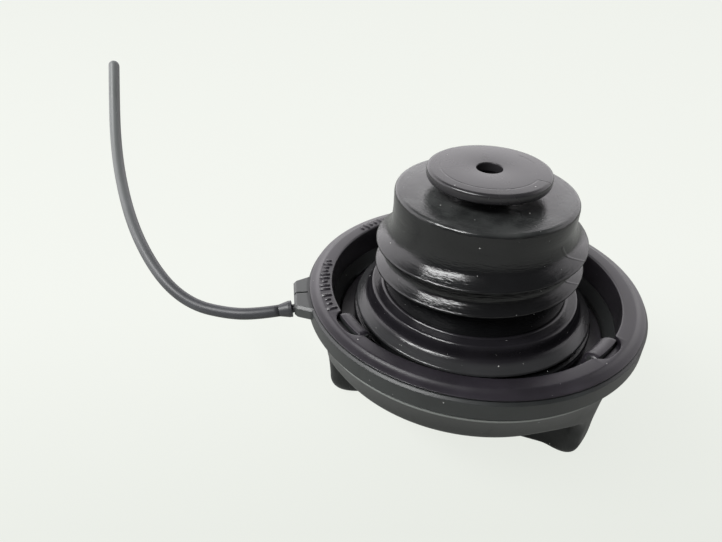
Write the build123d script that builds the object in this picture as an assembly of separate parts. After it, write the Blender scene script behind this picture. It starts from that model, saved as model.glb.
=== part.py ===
from build123d import *
import os
from math import cos, degrees, hypot, pi, radians, sin, tan

# Fuel filler cap, standing on its bar handle with the threaded stem upwards.
# Millimetres. The origin is the centre of the bar's flat end, +Z runs up the stem's axis
# and the bar lies along X.

os.makedirs("parts", exist_ok=True)

# ---------------------------------------------------------------- clearances
running_gap = 0.3            # between pieces that turn or slide past each other
seat_gap = 0.05              # between pieces that are snapped or dropped together
guide_gap = 0.08             # a sliding stem in its guide

# ---------------------------------------------------------------- radii, from the thread outwards
thread_radius = 24.0         # the driving size: it fits the filler neck
thread_depth = 2.4
pilot_step = 1.2             # the pilot is this much narrower than the thread's root
stem_wall = 1.9
thread_root_radius = thread_radius - thread_depth
pilot_radius = thread_root_radius - pilot_step
stem_bore = pilot_radius - stem_wall

seal_land_radius = thread_radius + 0.3
seal_shoulder_radius = seal_land_radius + 1.0
seal_base_radius = seal_land_radius + 0.3
seal_shelf_radius = seal_base_radius + 0.3
drum_radius = thread_radius + 3.2
foot_radius = drum_radius + 2.6
backing_radius = drum_radius + 1.7
seal_lip_radius = backing_radius - 0.9

retainer_inner_radius = drum_radius + 0.4
retainer_outer_radius = foot_radius + 2.6
ring_inner_radius = retainer_outer_radius + 2.0
hook_inner_radius = ring_inner_radius - 1.2
notch_radius = ring_inner_radius + 2.6
mouth_wall = 1.8
mouth_wall_radius = ring_inner_radius + 2 * mouth_wall    # the sleeve that the tether ring turns on
band_wall = 2.0
band_radius = mouth_wall_radius + running_gap + band_wall
ring_radius = band_radius - 0.5
dome_radius = band_radius - 0.6
block_reach = band_radius + 3.3

# ---------------------------------------------------------------- heights, from the fingers upwards
scoop_ceiling = 22.5         # underside of the dome, over the fingers
grip_floor = scoop_ceiling + 1.5
ring_seat = grip_floor + 13.0          # underside of the mouth ring
ring_top = ring_seat + 1.0
dome_top = ring_seat - 5.4
mouth_wall_top = ring_seat - 0.6
hook_top = ring_seat + 0.3
hook_barb_top = ring_seat - 0.8
strand_height = ring_seat - 2.4        # mouth of the strand's socket in the block
backing_top = grip_floor + 7.0
drum_roof = backing_top - 2.0
seal_shelf = backing_top + 0.8
seal_lip_height = seal_shelf + 1.1
seal_top = seal_shelf + 5.7
thread_pitch = 6.0
thread_turns = 2.0
thread_start_height = seal_top + 4.2
pilot_base = thread_start_height + 9.3           # top of the slope from the thread's root
pilot_land_bottom = thread_start_height + thread_pitch * thread_turns + 3.5
stem_top = pilot_land_bottom + 4.9
cover_top = stem_top + 5.2

# ---------------------------------------------------------------- hand grip
bar_end_radius = dome_radius - 4.7     # the bar's rounded ends, about the stem's axis
bar_end_draft = 0.6          # how far the ends lean out from their foot to the dome
bar_foot_rounding = 7.0      # rounding where the ends meet the flat end of the bar
bar_half_width = 10.5        # at the flat end
scoop_half_span = dome_radius - 9.7    # half the width of a finger scoop
scoop_corner = 11.0          # rounding of the scoop's two upper corners
scoop_blend = 6.5            # concave rounding where the scoop meets the bar
scoop_run_out = 5.0          # how far the scoop is cut past the flat end
dome_lip_rounding = 1.8
dome_flare_drop = 6.4        # height of the dome's last, steeper stretch
dome_flare_in = 2.6          # how much narrower the dome is below it
grip_wall = 2.4

# ---------------------------------------------------------------- mouth ring
ring_edge_in = 2.0           # width of the rounded outer edge
ring_skirt_depth = 6.0
hook_angles = (-128.6, -25.1, 103.2)
hook_half_angle = 8.0
hook_wall = 2.0
hook_barb = 1.3
hook_barb_height = 1.0

# ---------------------------------------------------------------- tether ring and strand
block_angle = -153.0
block_half_width = 5.3
block_root_half_width = 7.4
block_thickness = 3.4
block_slot_width = 0.5
block_slot_depth = 1.7
block_chamfer = 0.6
strand_diameter = 2.8
strand_offset = 3.3          # of the strand's root from the block's middle
neck_radius = 1.0
neck_depth = 2.4
neck_length = 0.6
collar_radius = 1.95
collar_thickness = 0.7
collar_taper = 2.3
strand_route = [             # bends of the strand, from the mouth of its socket
    (-8.75, -4.47, -1.2),
    (-15.65, -5.77, -1.7),
    (-23.15, -6.57, -1.1),
    (-30.65, -5.57, 1.7),
    (-39.15, -1.37, 5.9),
    (-48.65, 5.93, 10.5),
    (-58.65, 16.13, 16.3),
    (-65.65, 24.93, 23.0),
    (-70.25, 32.73, 31.6),
    (-73.65, 39.23, 39.6),
]

# ---------------------------------------------------------------- threaded stem
pilot_draft = 0.4            # the stretch that the thread crosses widens this much downwards
stem_edge = 0.95
thread_start_angle = 97.4
thread_flank = 2.2           # axial length of the wide flank that faces the tip
thread_undercut = 0.9        # axial length of the steep flank below the crest
crest_land = 0.35
thread_sink = 0.3            # how far the thread reaches into the core
thread_start_runout = 20.0
thread_end_runout = 28.0
runout_margin = 4.0          # how far the run-out cuts reach past the thread
stem_top_wall = 3.0
backing_thickness = 1.4
drum_wall = 2.4
foot_thickness = 1.3
housing_bead = 0.5
housing_bead_height = 0.9

# ---------------------------------------------------------------- main seal
seal_shoulder_drop = 1.5
seal_lip_thickness = 1.1

# ---------------------------------------------------------------- closure retainer
retainer_thickness = 1.6
retainer_ledge = 1.1
snap_bead = 0.5
snap_bead_height = 0.8
snap_bead_half_angle = 7.0
snap_bead_angles = (-75.0, 45.0, 165.0)

# ---------------------------------------------------------------- ratchet
tooth_count = 36             # a multiple of four, so that it meshes again every quarter turn
tooth_depth = 1.2
ratchet_root_radius = drum_radius - drum_wall - 1.0
ratchet_height = 3.6
key_count = 4
key_width = 2.8
key_depth = 0.8
pawl_count = 3
pawl_hub_radius = 10.0
pawl_thickness = 3.0
pawl_arm_radius = ratchet_root_radius - 3.4
pawl_arm_width = 1.5
pawl_arm_sweep = 78.0
pawl_spoke_width = 4.0
pawl_key_length = 18.0
pawl_key_depth = 3.5
boss_radius = 4.2
boss_rib = 1.6
core_end_wall = 10.0         # between the bar's end and the hollow in it
core_half_length = bar_end_radius - core_end_wall
core_corner = 4.0
screw_radius = 1.45
screw_head_radius = 3.2
screw_head_height = 1.7
screw_length = 17.0
screw_slot_length = 3.6
screw_slot_width = 0.8
screw_slot_depth = 1.0
washer_radius = 4.5
washer_thickness = 0.6

# ---------------------------------------------------------------- valve cover
cover_step = 6.65            # the cover is this much narrower than the pilot
cover_radius = pilot_radius - cover_step
cover_thickness = 2.5
cover_edge = 1.2
cover_hole = 2.9
cover_neck = 5.0
cover_neck_bore = 3.3
cover_neck_flare = 1.6       # slope from the neck to the disc's underside
cover_barb = 0.5
cover_barb_length = 1.4
cover_slot = 1.2
cover_slots = 4
cover_score_radius = cover_radius - 3.05    # the fine line scored into the disc
cover_score_width = 0.25
cover_score_depth = 0.15
cover_score_arcs = ((-172.0, -12.0), (35.0, 64.0))

# ---------------------------------------------------------------- pressure and vacuum valve
housing_radius = stem_bore - 0.2
housing_length = 22.3
housing_wall = 2.4
housing_rim = housing_radius - 5.8
housing_rim_depth = 2.8
seat_plate = 1.6
seat_hole = 6.0
seat_bead = 0.6
seal_ring_section = 1.48
seal_groove_depth = 1.3
seal_groove_drop = 2.7       # of the groove's lower side from the housing's top
retainer_disc_radius = housing_radius - 1.9
retainer_disc_thickness = 1.9
retainer_disc_hole = 3.4
vent_hole = 1.6
vent_count = 6
vent_circle = retainer_disc_radius - 4.4
plate_radius = housing_rim - 2.0
plate_thickness = 1.6
plate_rim = 0.7
plate_hub = 3.2
plate_hub_length = 3.6
plate_vent = 0.55
plate_vent_circle = 2.2
rubber_inner = 4.4
rubber_thickness = 1.8
pressure_travel = 2.5
spring_radius = plate_radius - 2.6
spring_wire = 1.1
spring_turns = 4.5
locating_ring = 0.7
poppet_radius = 3.6
poppet_thickness = 1.0
poppet_stem = 1.2
poppet_length = 11.0
vacuum_travel = 1.5
vacuum_spring_radius = 1.9
vacuum_spring_wire = 0.45
vacuum_spring_turns = 3.5
clip_radius = 2.6
clip_thickness = 0.7
clip_groove = 0.35
clip_from_end = 0.7


def turned(points):
    """Solid of revolution about Z from its outline in radius and height."""
    outline = Polyline(*[(r, 0, z) for r, z in points], close=True)
    return revolve(make_face(outline), Axis.Z)


def tube(outer, inner, bottom, top):
    """Round tube between two heights."""
    ring = Circle(outer) - Circle(inner)
    return Pos(0, 0, bottom) * extrude(ring, top - bottom)


def rod(radius, bottom, top):
    """Round rod between two heights."""
    return Pos(0, 0, bottom) * extrude(Circle(radius), top - bottom)


def box_between(x0, x1, y0, y1, z0, z1):
    """Box between two corners."""
    middle = Pos((x0 + x1) / 2, (y0 + y1) / 2, (z0 + z1) / 2)
    return middle * Box(x1 - x0, y1 - y0, z1 - z0)


def arc_segment(inner, outer, bottom, top, angle, half_angle):
    """Piece of a tube that spans an angle either side of a direction."""
    reach = outer / cos(radians(half_angle)) + 1
    wedge = Polyline(
        (0, 0),
        (reach * cos(radians(half_angle)), -reach * sin(radians(half_angle))),
        (reach * cos(radians(half_angle)), reach * sin(radians(half_angle))),
        close=True,
    )
    sector = (Circle(outer) - Circle(inner)) & make_face(wedge)
    return Pos(0, 0, bottom) * Rot(0, 0, angle) * extrude(sector, top - bottom)


def around(count, start=0.0):
    """Rotations that repeat a feature evenly about Z."""
    return [Rot(0, 0, start + 360.0 * i / count) for i in range(count)]


def coil(mean_radius, wire_diameter, turns, bottom, top):
    """Compression spring that fills the height between its two seats."""
    first = bottom + wire_diameter / 2 + seat_gap
    last = top - wire_diameter / 2 - seat_gap
    path = Pos(0, 0, first) * Helix((last - first) / turns, last - first, mean_radius)
    section = Plane(path @ 0, z_dir=path % 0) * Circle(wire_diameter / 2)
    return sweep(section, path=path, is_frenet=True)


# ---------------------------------------------------------------- levels along the axis
foot_bottom = grip_floor + running_gap + 0.1
foot_top = foot_bottom + foot_thickness
retainer_bottom = foot_top + running_gap
retainer_top = retainer_bottom + retainer_thickness
ratchet_bottom = foot_bottom + 0.5
ratchet_top = ratchet_bottom + ratchet_height
backing_bottom = backing_top - backing_thickness
wall_underside = stem_top - stem_top_wall
skirt_bottom = ring_seat - ring_skirt_depth
band_bottom = dome_top + running_gap
band_top = ring_seat - running_gap
pawl_bottom = grip_floor + running_gap
pawl_top = pawl_bottom + pawl_thickness
boss_top = pawl_bottom - pawl_key_depth - seat_gap


def scoop(side):
    """Finger scoop on one side of the bar: an arch run in from the side, rounded at its end."""
    floor = -scoop_run_out
    corner = scoop_ceiling - scoop_corner
    inner = scoop_half_span - scoop_corner
    sill = Line((-scoop_half_span, floor), (scoop_half_span, floor))
    right = Line((scoop_half_span, floor), (scoop_half_span, corner))
    right_turn = RadiusArc((scoop_half_span, corner), (inner, scoop_ceiling), -scoop_corner)
    ceiling = Line((inner, scoop_ceiling), (-inner, scoop_ceiling))
    left_turn = RadiusArc((-inner, scoop_ceiling), (-scoop_half_span, corner), -scoop_corner)
    left = Line((-scoop_half_span, corner), (-scoop_half_span, floor))
    arch = make_face(Curve() + [sill, right, right_turn, ceiling, left_turn, left])
    depth = dome_radius
    block = extrude(Plane.XZ * arch, -depth)
    block = Pos(0, bar_half_width, 0) * block
    inner_face = block.faces().sort_by(Axis.Y)[0]
    rounded = [e for e in inner_face.edges() if e.center().Z > floor + 1.0]
    block = fillet(rounded, scoop_blend)
    return block if side > 0 else Rot(0, 0, 180) * block


def grip_envelope():
    """Outer form of the grip before the finger scoops are taken out."""
    foot_radius_flat = bar_end_radius - bar_foot_rounding
    flare_base = dome_top - dome_flare_drop
    outline = Curve() + [
        Line((0, 0), (foot_radius_flat, 0)),
        RadiusArc((foot_radius_flat, 0), (bar_end_radius, bar_foot_rounding), -bar_foot_rounding),
        Spline(
            (bar_end_radius, bar_foot_rounding),
            (bar_end_radius + bar_end_draft, (bar_foot_rounding + flare_base) / 2),
            (dome_radius - dome_flare_in, flare_base),
            (dome_radius, dome_top),
            tangents=((0.02, 1), (0.5, 1)),
        ),
        Line((dome_radius, dome_top), (mouth_wall_radius, dome_top)),
        Line((mouth_wall_radius, dome_top), (mouth_wall_radius, mouth_wall_top)),
        Line((mouth_wall_radius, mouth_wall_top), (0, mouth_wall_top)),
        Line((0, mouth_wall_top), (0, 0)),
    ]
    return revolve(Plane.XZ * make_face(outline), Axis.Z)


def build_grip_shell():
    grip = grip_envelope()
    for side in (1, -1):
        grip -= scoop(side)
    lip = [
        e
        for e in grip.edges()
        if abs(e.center().Z - scoop_ceiling) < dome_lip_rounding
        and hypot(e.center().X, e.center().Y) > scoop_half_span
    ]
    if lip:
        grip = fillet(lip, dome_lip_rounding)
    ledge_radius = retainer_outer_radius - retainer_ledge
    seat_radius = retainer_outer_radius + 0.2
    sleeve_inner = mouth_wall_radius - mouth_wall
    cavity = turned(
        [
            (0, grip_floor),
            (ledge_radius, grip_floor),
            (ledge_radius, retainer_bottom),
            (seat_radius, retainer_bottom),
            (seat_radius, retainer_top + snap_bead_height),
            (ring_inner_radius, skirt_bottom - seat_gap),
            (sleeve_inner, skirt_bottom - seat_gap),
            (sleeve_inner, mouth_wall_top + 1),
            (0, mouth_wall_top + 1),
        ]
    )
    grip -= cavity
    core_half_width = bar_half_width - grip_wall
    core = RectangleRounded(2 * core_half_length, 2 * core_half_width, core_corner)
    grip -= Pos(0, 0, grip_wall) * extrude(core, grip_floor - grip_wall + 1)
    ribs = Part()
    for x in (-core_half_length / 2, 0, core_half_length / 2):
        height = boss_top if x == 0 else boss_top - pawl_key_depth
        ribs += box_between(
            x - boss_rib / 2, x + boss_rib / 2, -bar_half_width + 1, bar_half_width - 1, 1, height
        )
    grip += ribs
    grip += rod(boss_radius, 1, boss_top)
    grip -= rod(screw_radius + seat_gap, grip_wall + 2, boss_top + 1)
    for angle in snap_bead_angles:
        grip += arc_segment(
            seat_radius - snap_bead,
            seat_radius + 0.6,
            retainer_top + seat_gap,
            retainer_top + snap_bead_height,
            angle,
            snap_bead_half_angle,
        )
    for angle in hook_angles:
        grip += build_hook(angle)
    return grip


def build_hook(angle):
    """Snap hook that stands up from the grip's inner wall and grips the mouth ring."""
    outer = hook_inner_radius + hook_wall
    leg = arc_segment(
        hook_inner_radius, outer, retainer_top + snap_bead_height, hook_top, angle, hook_half_angle
    )
    barb = arc_segment(
        outer - 0.2, outer + hook_barb, hook_barb_top - hook_barb_height, hook_barb_top,
        angle, hook_half_angle,
    )
    slope = turned(
        [
            (outer + 0.01, hook_barb_top + 0.01),
            (outer + hook_barb + 1.0, hook_barb_top + 0.01),
            (outer + hook_barb + 1.0, hook_barb_top - 1.2),
        ]
    )
    return leg + (barb - slope)


def build_retainer_ring():
    body = turned(
        [
            (ring_inner_radius, skirt_bottom),
            (mouth_wall_radius - mouth_wall - seat_gap, skirt_bottom),
            (mouth_wall_radius - mouth_wall - seat_gap, mouth_wall_top + seat_gap),
            (mouth_wall_radius - 0.4, mouth_wall_top + seat_gap),
            (mouth_wall_radius - 0.4, ring_seat),
            (ring_radius, ring_seat),
            (ring_radius, ring_seat + 0.25),
            (ring_radius - 0.25, ring_seat + 0.55),
            (ring_radius - 0.8, ring_seat + 0.8),
            (ring_radius - ring_edge_in, ring_top),
            (ring_inner_radius + 0.4, ring_top),
            (ring_inner_radius, ring_top - 0.4),
        ]
    )
    hook_outer = hook_inner_radius + hook_wall
    barb_seat = hook_barb_top - hook_barb_height - seat_gap
    margin = degrees(0.35 / ring_inner_radius)
    for angle in hook_angles:
        body -= arc_segment(
            ring_inner_radius - 1,
            hook_outer + 0.2,
            skirt_bottom - 1,
            ring_top + 1,
            angle,
            hook_half_angle + margin,
        )
        body -= arc_segment(
            ring_inner_radius - 1,
            notch_radius,
            barb_seat,
            ring_top + 1,
            angle,
            hook_half_angle + margin,
        )
    return body


def build_closure_retainer():
    ring = tube(retainer_outer_radius, retainer_inner_radius, retainer_bottom, retainer_top)
    edge = ring.edges().filter_by(GeomType.CIRCLE).sort_by(Axis.Z)[-2:]
    return chamfer(edge, 0.3)


def tether_place():
    """Local frame of the tether block: X radial, Y tangential."""
    return Rot(0, 0, block_angle)


def build_tether_ring():
    inner = mouth_wall_radius + running_gap
    edge = 0.5
    band = turned(
        [
            (inner, band_bottom),
            (band_radius - edge, band_bottom),
            (band_radius, band_bottom + edge),
            (band_radius, band_top - edge),
            (band_radius - edge, band_top),
            (inner, band_top),
        ]
    )
    root = band_radius - 1.2
    plan = Polyline(
        (root, -block_root_half_width),
        (block_reach, -block_half_width),
        (block_reach, block_half_width),
        (root, block_root_half_width),
        close=True,
    )
    block = Pos(0, 0, band_top - block_thickness) * extrude(make_face(plan), block_thickness)
    outer_edges = [e for e in block.edges() if e.center().X > root + 1.0]
    block = chamfer(outer_edges, block_chamfer)
    slot_bottom = band_top - block_slot_depth
    block -= box_between(
        band_radius, block_reach + 1, -block_slot_width / 2, block_slot_width / 2,
        slot_bottom, band_top + 1,
    )
    socket = rod(neck_radius + seat_gap, -neck_depth - seat_gap, neck_depth)
    return band + tether_place() * block - socket_place() * socket


def socket_mouth():
    """Point on the block's outer face where the strand's socket opens."""
    return (tether_place() * Pos(block_reach, strand_offset, strand_height)).position


def socket_place():
    """Mouth of the strand's socket in the block, Z towards the strand's first bend."""
    return Plane(socket_mouth(), z_dir=Vector(*strand_route[0])).location


def build_tether_collar():
    """Neck that plugs into the block, its round collar and the taper down to the strand."""
    collar_top = neck_length + collar_thickness
    profile = [
        (0, -neck_depth),
        (neck_radius, -neck_depth),
        (neck_radius, neck_length),
        (collar_radius, neck_length),
        (collar_radius, collar_top),
        (strand_diameter / 2, collar_top + collar_taper),
        (0, collar_top + collar_taper),
    ]
    return socket_place() * turned(profile)


def strand_start():
    """Point where the strand leaves its collar."""
    end = socket_place() * Pos(0, 0, neck_length + collar_thickness + collar_taper)
    return tuple(end.position)


def corner_radii(points):
    """Largest tangent arcs that the runs allow, one for each corner."""
    radii = []
    for before, at, after in zip(points, points[1:], points[2:]):
        run_in = Vector(*at) - Vector(*before)
        run_out = Vector(*after) - Vector(*at)
        half_turn = radians(run_in.get_angle(run_out)) / 2
        radii.append(0.45 * min(run_in.length, run_out.length) / tan(half_turn))
    return radii


def build_tether_strand():
    mouth = socket_mouth()
    points = [strand_start()] + [tuple(mouth + Vector(*bend)) for bend in strand_route]
    radii = corner_radii(points)
    print("strand radii", [round(r, 1) for r in radii])
    path = FilletPolyline(*points, radius=radii)
    section = Plane(path @ 0, z_dir=path % 0) * Circle(strand_diameter / 2)
    strand = sweep(section, path=path)
    tip = strand.faces().sort_by(Axis.Z)[-1]
    strand = fillet(tip.edges(), strand_diameter / 2 * 0.7)
    swept = pi * (strand_diameter / 2) ** 2 * path.length
    print("strand length", round(path.length, 2), "volume / swept", round(strand.volume / swept, 4))
    return strand


def thread_profile():
    """Half section of the thread at its start, crest at height zero."""
    foot = pilot_radius - thread_sink
    rise = thread_flank / thread_depth
    return Polyline(
        (foot, 0, -thread_undercut),
        (thread_root_radius, 0, -thread_undercut),
        (thread_radius - 0.25, 0, -crest_land),
        (thread_radius, 0, 0),
        (thread_radius - 0.2, 0, crest_land),
        (foot, 0, rise * (thread_radius - foot)),
        close=True,
    )


def runout(inner, angle):
    """Outline that trims the thread's end to a chord, from the core out past the crest."""
    lean = radians(angle)
    crest = thread_radius + 0.5
    far = 2 * thread_radius
    return Polyline(
        (inner, 0),
        (crest * cos(lean), crest * sin(lean)),
        (far * cos(lean), far * sin(lean)),
        (far, 0),
        (far, -runout_margin),
        (inner, -runout_margin),
        close=True,
    )


def build_thread():
    path = Helix(thread_pitch, thread_pitch * thread_turns, thread_radius)
    thread = sweep(make_face(thread_profile()), path=path, is_frenet=True)
    first = runout(thread_root_radius - 0.1, thread_start_runout)
    first_height = runout_margin + thread_pitch - thread_undercut - 0.1
    first = Pos(0, 0, -runout_margin) * extrude(make_face(first), first_height)
    last = mirror(runout(pilot_radius - 0.1, thread_end_runout), Plane.XZ)
    last_bottom = thread_pitch * (thread_turns - 1) + thread_flank + 1.5
    last = Pos(0, 0, last_bottom) * extrude(make_face(last), thread_pitch + runout_margin)
    thread = thread - first - last
    return Pos(0, 0, thread_start_height) * Rot(0, 0, thread_start_angle) * thread


def build_closure_stem():
    drum_inner = drum_radius - drum_wall
    bead_bottom = wall_underside - seat_gap - housing_length - housing_bead_height - 0.4
    body = turned(
        [
            (drum_inner, foot_bottom),
            (foot_radius, foot_bottom),
            (foot_radius, foot_top),
            (drum_radius, foot_top),
            (drum_radius, backing_bottom),
            (backing_radius - 0.3, backing_bottom),
            (backing_radius, backing_bottom + 0.3),
            (backing_radius, backing_top - 0.3),
            (backing_radius - 0.4, backing_top),
            (seal_shelf_radius, seal_shelf),
            (thread_root_radius, seal_shelf),
            (thread_root_radius, pilot_base - pilot_step + pilot_draft),
            (pilot_radius + pilot_draft, pilot_base),
            (pilot_radius, pilot_land_bottom),
            (pilot_radius, stem_top - stem_edge),
            (pilot_radius - stem_edge * 0.29, stem_top - stem_edge * 0.29),
            (pilot_radius - stem_edge, stem_top),
            (cover_neck + seat_gap, stem_top),
            (cover_neck + seat_gap, wall_underside),
            (stem_bore, wall_underside),
            (stem_bore, bead_bottom + housing_bead_height),
            (stem_bore - housing_bead, bead_bottom + housing_bead_height / 2),
            (stem_bore, bead_bottom),
            (stem_bore, drum_roof + 2.0),
            (drum_inner, drum_roof),
        ]
    )
    stem = body + build_thread()
    for place in around(key_count, 45.0):
        stem += place * box_between(
            drum_inner - key_depth, drum_inner + 0.5, -key_width / 2, key_width / 2,
            ratchet_bottom, drum_roof + 0.2,
        )
    return stem


def build_main_seal():
    inner = thread_root_radius + seat_gap
    lip_under = seal_lip_height - seal_lip_thickness * 0.6
    return turned(
        [
            (inner, seal_shelf),
            (seal_base_radius, seal_shelf),
            (seal_base_radius, seal_shelf + 1.5),
            (seal_shoulder_radius, seal_shelf + 1.9),
            (seal_lip_radius - 0.3, lip_under),
            (seal_lip_radius, lip_under + 0.25),
            (seal_lip_radius, seal_lip_height),
            (seal_shoulder_radius, seal_top - seal_shoulder_drop),
            (seal_shoulder_radius - 0.25, seal_top - seal_shoulder_drop * 0.45),
            (seal_land_radius, seal_top),
            (inner + 0.4, seal_top),
            (inner, seal_top - 0.4),
        ]
    )


def build_ratchet_ring():
    outer = drum_radius - drum_wall - 0.1
    tip = ratchet_root_radius - tooth_depth
    pitch = 2 * pi / tooth_count
    points = []
    for i in range(tooth_count):
        start = i * pitch
        points.append((ratchet_root_radius * cos(start), ratchet_root_radius * sin(start)))
        crest = start + 0.88 * pitch
        points.append((tip * cos(crest), tip * sin(crest)))
        back = start + 0.97 * pitch
        points.append((tip * cos(back), tip * sin(back)))
    opening = make_face(Polyline(*points, close=True))
    ring = extrude(Circle(outer) - opening, ratchet_top - ratchet_bottom)
    for place in around(key_count, 45.0):
        ring -= place * box_between(
            outer - key_depth - 0.05, outer + 1, -key_width / 2 - 0.1, key_width / 2 + 0.1,
            -1, ratchet_height + 1,
        )
    return Pos(0, 0, ratchet_bottom) * ring


def build_pawl_plate():
    """Hub keyed to the bar, with spring arms whose pawls rest in the ratchet's valleys."""
    inner_arm = pawl_arm_radius - pawl_arm_width / 2
    outer_arm = pawl_arm_radius + pawl_arm_width / 2
    tip_radius = ratchet_root_radius - running_gap
    pitch = 360.0 / tooth_count
    plate = rod(pawl_hub_radius, pawl_bottom, pawl_top)
    for place in around(pawl_count):
        arm = arc_segment(
            inner_arm, outer_arm, pawl_bottom, pawl_top, -pawl_arm_sweep / 2, pawl_arm_sweep / 2
        )
        spoke = box_between(
            pawl_hub_radius - 1, outer_arm - 0.3, -pawl_spoke_width / 2, pawl_spoke_width / 2,
            pawl_bottom, pawl_top,
        )
        root = Rot(0, 0, -pawl_arm_sweep)
        start = radians(0.14 * pitch)
        crest = radians(0.80 * pitch)
        inner_tip = outer_arm - 0.5
        flat_tip = ratchet_root_radius - tooth_depth - running_gap
        pawl = make_face(
            Polyline(
                (inner_tip * cos(start), inner_tip * sin(start)),
                (tip_radius * cos(start), tip_radius * sin(start)),
                (flat_tip * cos(crest), flat_tip * sin(crest)),
                (inner_tip * cos(crest), inner_tip * sin(crest)),
                close=True,
            )
        )
        tooth = Pos(0, 0, pawl_bottom) * Rot(0, 0, -pitch) * extrude(pawl, pawl_thickness)
        plate += place * (arm + root * spoke + tooth)
    key_half = bar_half_width - grip_wall - 0.3
    plate += box_between(
        -pawl_key_length / 2, pawl_key_length / 2, -key_half, key_half,
        pawl_bottom - pawl_key_depth, pawl_bottom + 0.5,
    )
    return plate - rod(screw_radius + 0.25, 0, pawl_top + 1)


def build_centre_screw():
    seat = pawl_top + washer_thickness
    head = rod(screw_head_radius, seat, seat + screw_head_height)
    head = fillet(head.edges().sort_by(Axis.Z)[-1:], 0.8)
    shank = rod(screw_radius, seat - screw_length, seat + 0.1)
    shank = chamfer(shank.edges().sort_by(Axis.Z)[:1], 0.6)
    screw = head + shank
    slot = Box(screw_slot_length, screw_slot_width, 2 * screw_slot_depth)
    for turn in (0, 90):
        screw -= Rot(0, 0, turn) * Pos(0, 0, seat + screw_head_height) * slot
    return screw


def build_screw_washer():
    return tube(washer_radius, screw_radius + 0.2, pawl_top, pawl_top + washer_thickness)


def build_valve_cover():
    underside = cover_top - cover_thickness
    lowest = wall_underside - cover_barb_length
    cover = turned(
        [
            (cover_hole, cover_top),
            (cover_radius - cover_edge, cover_top),
            (cover_radius - cover_edge * 0.38, cover_top - cover_edge * 0.18),
            (cover_radius, cover_top - cover_edge * 0.7),
            (cover_radius - 0.1, underside + cover_edge * 0.6),
            (cover_radius - cover_edge * 0.6, underside + cover_edge * 0.15),
            (cover_radius - cover_edge * 1.4, underside),
            (cover_neck + cover_neck_flare, underside),
            (cover_neck, stem_top),
            (cover_neck, wall_underside - seat_gap),
            (cover_neck + cover_barb, wall_underside - seat_gap),
            (cover_neck - 0.2, lowest),
            (cover_neck_bore, lowest),
            (cover_neck_bore, underside),
            (cover_hole, underside + 0.6),
        ]
    )
    for place in around(cover_slots, 45.0):
        cover -= place * box_between(
            cover_neck_bore - 0.5, cover_neck + 2, -cover_slot / 2, cover_slot / 2,
            lowest - 1, stem_top - 0.6,
        )
    score_bottom = cover_top - cover_score_depth
    half_width = cover_score_width / 2
    for first, last in cover_score_arcs:
        cover -= arc_segment(
            cover_score_radius - half_width, cover_score_radius + half_width,
            score_bottom, cover_top + 1, (first + last) / 2, (last - first) / 2,
        )
    run_off = box_between(
        cover_score_radius, cover_radius - cover_edge / 2, -half_width, half_width,
        score_bottom, cover_top + 1,
    )
    return cover - Rot(0, 0, cover_score_arcs[0][1]) * run_off


# heights inside the valve
housing_top = wall_underside - seat_gap
housing_bottom = housing_top - housing_length
seat_top = housing_top - housing_rim_depth
seat_bottom = seat_top - seat_plate
bead_bottom = seat_bottom - seat_bead
rubber_top = bead_bottom - running_gap
plate_top = rubber_top - rubber_thickness
plate_bottom = plate_top - plate_thickness
hub_bottom = plate_bottom - plate_hub_length
poppet_bottom = plate_top + running_gap
poppet_top = poppet_bottom + poppet_thickness
poppet_end = poppet_bottom - poppet_length
clip_bottom = poppet_end + clip_from_end
clip_top = clip_bottom + clip_thickness
step_height = housing_bottom + 0.3 + retainer_disc_thickness
disc_top = step_height - seat_gap
disc_bottom = disc_top - retainer_disc_thickness


def build_valve_housing():
    inner = housing_radius - housing_wall
    groove = housing_radius - seal_groove_depth
    groove_bottom = housing_top - seal_groove_drop
    groove_top = groove_bottom + seal_ring_section + 0.3
    seat_radius = retainer_disc_radius + 0.15
    return turned(
        [
            (seat_radius - 0.35, housing_bottom),
            (housing_radius - 0.3, housing_bottom),
            (housing_radius, housing_bottom + 0.3),
            (housing_radius, groove_bottom),
            (groove, groove_bottom),
            (groove, groove_top),
            (housing_radius, groove_top),
            (housing_radius, housing_top),
            (housing_rim, housing_top),
            (housing_rim, seat_top),
            (seat_hole, seat_top),
            (seat_hole, bead_bottom + 0.2),
            (seat_hole + 0.4, bead_bottom),
            (seat_hole + 0.9, seat_bottom),
            (inner, seat_bottom),
            (inner, step_height),
            (seat_radius, step_height),
            (seat_radius, housing_bottom + 0.28),
        ]
    )


def build_housing_seal():
    middle = housing_top - seal_groove_drop + (seal_ring_section + 0.3) / 2
    centre_radius = housing_radius - seal_groove_depth + seal_ring_section / 2 + 0.005
    return Pos(0, 0, middle) * Torus(centre_radius, seal_ring_section / 2)


def build_spring_retainer():
    disc = tube(retainer_disc_radius, retainer_disc_hole, disc_bottom, disc_top)
    ring_outer = spring_radius - spring_wire / 2 - 0.5
    disc += tube(ring_outer, ring_outer - 1.0, disc_top - 0.2, disc_top + 1.2)
    for place in around(vent_count):
        disc -= place * Pos(vent_circle, 0, disc_bottom - 1) * extrude(
            Circle(vent_hole), retainer_disc_thickness + 2
        )
    return disc


def build_pressure_plate():
    plate = rod(plate_radius, plate_bottom, plate_top)
    plate += tube(plate_radius, plate_radius - plate_rim, plate_top - 0.2, plate_top + 0.7)
    plate += rod(plate_hub, hub_bottom, plate_bottom + 0.2)
    ring_outer = spring_radius - spring_wire / 2 - 0.4
    plate += tube(
        ring_outer, ring_outer - locating_ring, plate_bottom - 0.8, plate_bottom + 0.2
    )
    plate -= rod(poppet_stem + guide_gap, hub_bottom - 1, plate_top + 1)
    for place in around(4, 45.0):
        plate -= place * Pos(plate_vent_circle, 0, hub_bottom - 1) * extrude(
            Circle(plate_vent), plate_top - hub_bottom + 2
        )
    return plate


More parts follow.
